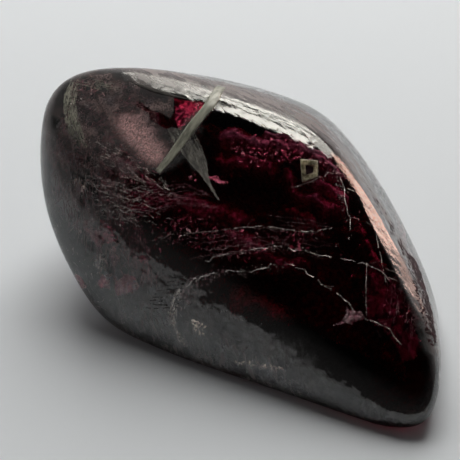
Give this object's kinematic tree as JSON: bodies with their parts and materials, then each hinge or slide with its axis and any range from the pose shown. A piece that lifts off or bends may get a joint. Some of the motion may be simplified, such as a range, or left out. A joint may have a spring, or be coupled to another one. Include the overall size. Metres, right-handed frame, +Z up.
{
  "type": "tumbled garnet crystal",
  "caption": "Tumble-polished wine-red garnet stone, a rounded lozenge with soft worn flats, pale veins and flaws inside, resting on a flat underside.",
  "frame": {"origin": "on the table plane, in the middle of the box round the stone", "axes": "+Z up from the table, +X along the long way of the stone towards its low tip, -Y towards the side that the broad face leans to"},
  "size_m": [0.0546, 0.0352, 0.0228],
  "materials": {
    "garnet": "polished"
  },
  "bodies": {
    "root": {"garnet": "garnet"}
  },
  "joints": []
}
